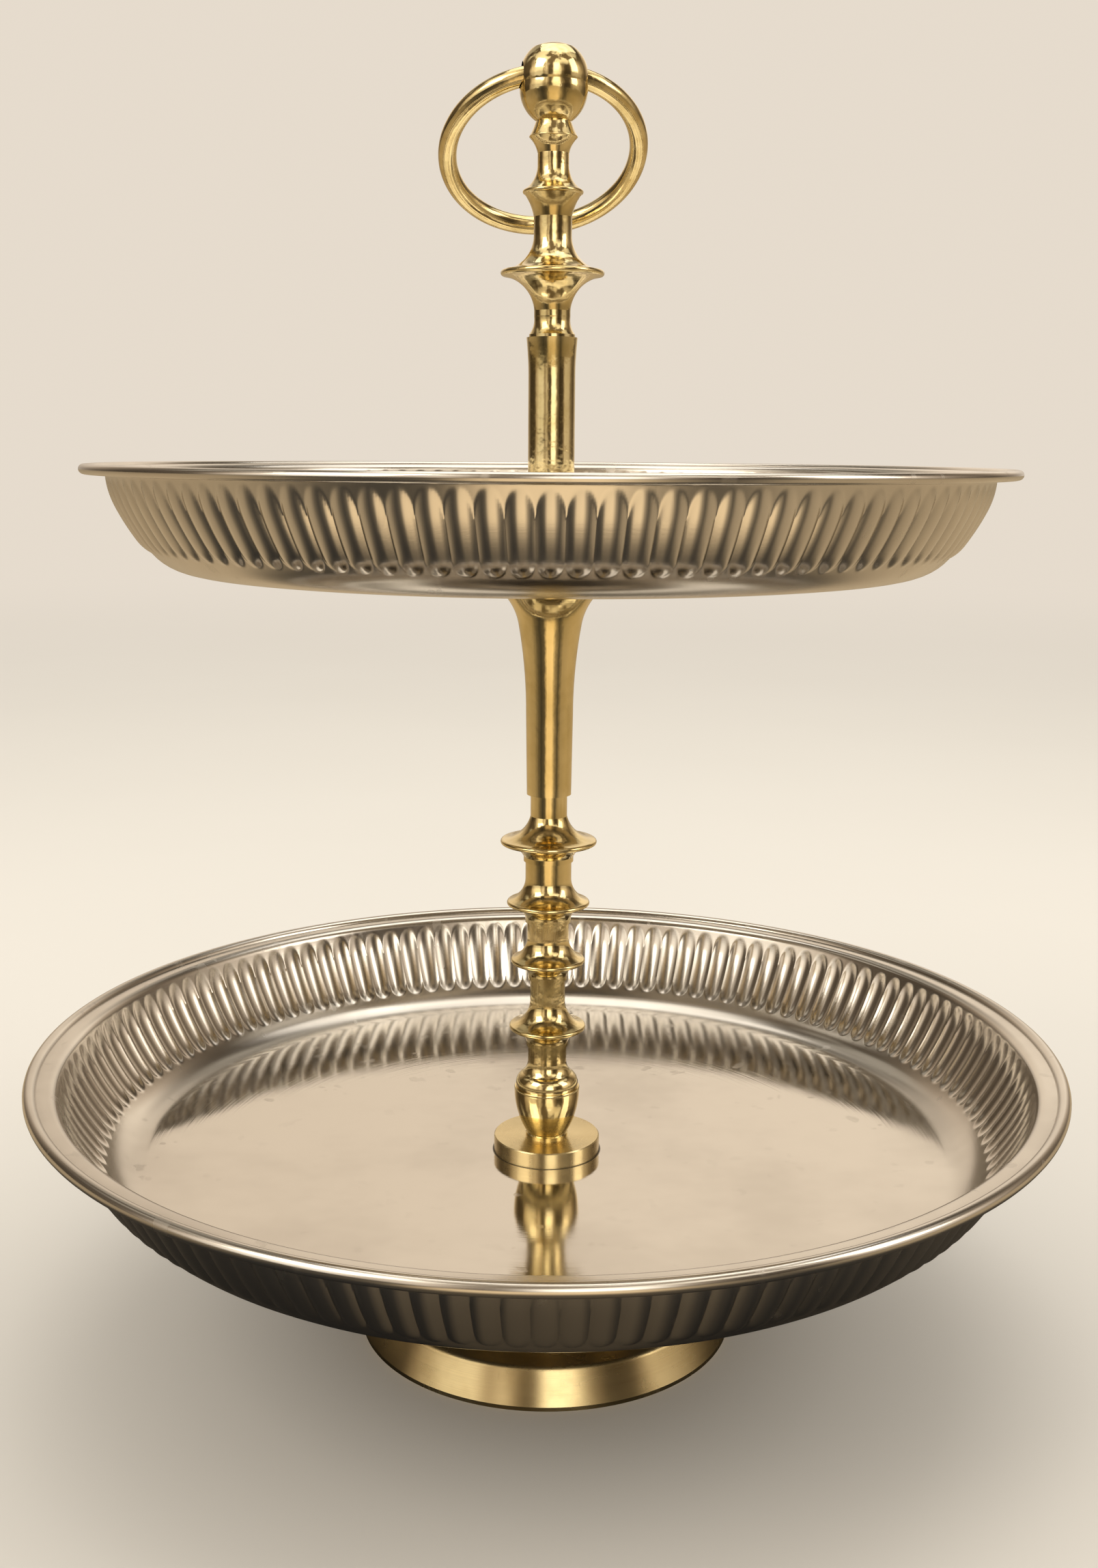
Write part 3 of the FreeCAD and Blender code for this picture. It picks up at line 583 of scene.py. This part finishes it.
def makeFloor(look):
    sides = 96
    points = [(0, 0, 0)] + [(look["radius"] * math.cos(2 * math.pi * i / sides),
                             look["radius"] * math.sin(2 * math.pi * i / sides), 0) for i in range(sides)]
    faces = [(0, 1 + i, 1 + (i + 1) % sides) for i in range(sides)]
    mesh = bpy.data.meshes.new("floor")
    mesh.from_pydata(points, [], faces)
    floor = bpy.data.objects.new("floor", mesh)
    scene.collection.objects.link(floor)
    material, tree, shader, position = startMaterial("paleFloor")
    colour = blendColour(tree, noise(tree, position, 3.0, 3.0), look["colour"], look["other"])
    split = place(tree, "ShaderNodeSeparateXYZ")
    feed(tree, split.inputs[0], position)
    patch = ringLevel(tree, split.outputs[0], split.outputs[1], floorRing)
    away = place(tree, "ShaderNodeVectorMath", operation="LENGTH")
    feed(tree, away.inputs[0], position)
    outward = remap(tree, away.outputs["Value"], look["patchFrom"], look["patchTo"], look["patchNear"], 1.0)
    patch = calc(tree, "MULTIPLY", patch, outward)
    # painted reflection: to glossy rays the floor is dark, with lighter patches round the object that fade near
    # it
    paintedReflection = blendColour(tree, patch, look["inMetal"], look["inMetalPatch"])
    inMetal = place(tree, "ShaderNodeLightPath").outputs["Is Glossy Ray"]
    colour = blendColour(tree, inMetal, colour, paintedReflection)
    # far off, the floor runs into the backdrop with no line between
    far = remap(tree, away.outputs["Value"], look["farFrom"], look["farTo"])
    far = calc(tree, "MULTIPLY", far, calc(tree, "SUBTRACT", 1.0, inMetal))
    feed(tree, shader.inputs["Base Color"], blendColour(tree, far, colour, (0, 0, 0, 1)))
    feed(tree, shader.inputs["Emission Color"], blendColour(tree, far, (0, 0, 0, 1), look["farGlow"]))
    shader.inputs["Emission Strength"].default_value = 1.0
    shader.inputs["Specular IOR Level"].default_value = 0.0
    shader.inputs["Roughness"].default_value = look["rough"]
    mesh.materials.append(material)


makeFloor(floorSetup)

# brightness of the room round the object, in polished metal, by degrees from the -Y side
roomRing = [
    (-180, 0.66), (-155, 0.56), (-138, 0.22), (-120, 0.06), (-90, 0.08), (-78, 0.60), (-64, 0.95), (-42, 0.95),
    (-34, 0.40), (-24, 0.75), (-14, 0.10), (-5, 0.12), (2, 1.9), (16, 1.9), (26, 0.30), (38, 0.05), (56, 0.08),
    (68, 0.70), (92, 0.65), (106, 0.25), (126, 0.10), (142, 0.35), (156, 0.74), (180, 0.66),
]
roomLook = {
    "warm": (1.0, 0.93, 0.82, 1), "shade": (1.0, 0.74, 0.50, 1), "warmth": 0.9, "risen": 1.6,
    "ringTop": 3.0, "ceiling": (0.62, 0.56, 0.47, 1),
    "ceilingDark": (0.10, 0.075, 0.05, 1), "ceilingFrom": 0.42, "patches": 3.2,
    "ceilingFront": 2.6, "ceilingBack": 0.75,
    "backdrop": backdropColour, "fill": (0.95, 0.93, 0.88, 1), "strength": 1.0,
}


def makeRoom(look, ring):
    world = bpy.data.worlds.new("room")
    scene.world = world
    world.use_nodes = True
    tree = world.node_tree
    background = tree.nodes["Background"]
    direction = place(tree, "ShaderNodeTexCoord").outputs["Generated"]
    split = place(tree, "ShaderNodeSeparateXYZ")
    feed(tree, split.inputs[0], direction)
    x, y, z = split.outputs
    level = ringLevel(tree, x, y, ring, look["ringTop"])
    tinted = place(tree, "ShaderNodeVectorMath", operation="SCALE")
    warmth = calc(tree, "MULTIPLY", level, look["warmth"], clamp=True)
    feed(tree, tinted.inputs[0], blendColour(tree, warmth, look["shade"], look["warm"]))
    boost = remap(tree, z, 0.08, 0.24, 1.0, look["risen"])
    feed(tree, tinted.inputs["Scale"], calc(tree, "MULTIPLY", level, boost))
    above = remap(tree, z, look["ceilingFrom"], look["ceilingFrom"] + 0.25)
    patches = remap(tree, noise(tree, direction, look["patches"], 1.0), 0.42, 0.60)
    top = place(tree, "ShaderNodeVectorMath", operation="SCALE")    # lighter over the camera's side
    feed(tree, top.inputs[0], blendColour(tree, patches, look["ceilingDark"], look["ceiling"]))
    feed(tree, top.inputs["Scale"], remap(tree, y, -0.5, 0.6, look["ceilingFront"], look["ceilingBack"]))
    room = blendColour(tree, above, tinted.outputs[0], top.outputs[0])
    rays = place(tree, "ShaderNodeLightPath").outputs
    room = blendColour(tree, rays["Is Diffuse Ray"], room, look["fill"])    # matt things get an even light
    feed(tree, background.inputs["Color"], blendColour(tree, rays["Is Camera Ray"], room, look["backdrop"]))
    background.inputs["Strength"].default_value = look["strength"]


makeRoom(roomLook, roomRing)

softLights = [    # name, place, aim, width, height, watts, colour
    ("softLeft", (-0.9, -0.7, 1.1), (0, 0, 0.15), 0.7, 0.7, 5.0, (1.0, 0.93, 0.83)),
    ("softRight", (1.1, -0.3, 0.9), (0, 0, 0.15), 0.5, 0.8, 3.0, (1.0, 0.95, 0.88)),
    ("softTop", (0.1, 0.3, 1.5), (0, 0, 0.1), 1.2, 1.2, 7.0, (1.0, 0.96, 0.90)),
]
for name, spot, aim, width, height, watts, colour in softLights:
    data = bpy.data.lights.new(name, "AREA")
    data.shape = "RECTANGLE"
    data.size, data.size_y = width, height
    data.energy = watts
    data.color = colour
    light = bpy.data.objects.new(name, data)
    light.location = spot
    light.rotation_mode = "QUATERNION"
    light.rotation_quaternion = (Vector(aim) - Vector(spot)).to_track_quat("-Z", "Y")
    light.visible_camera = False
    scene.collection.objects.link(light)
scene.view_settings.view_transform = "Standard"
print("floor and lights set")


# bring the scene up to date after dressing

bpy.context.view_layer.update()
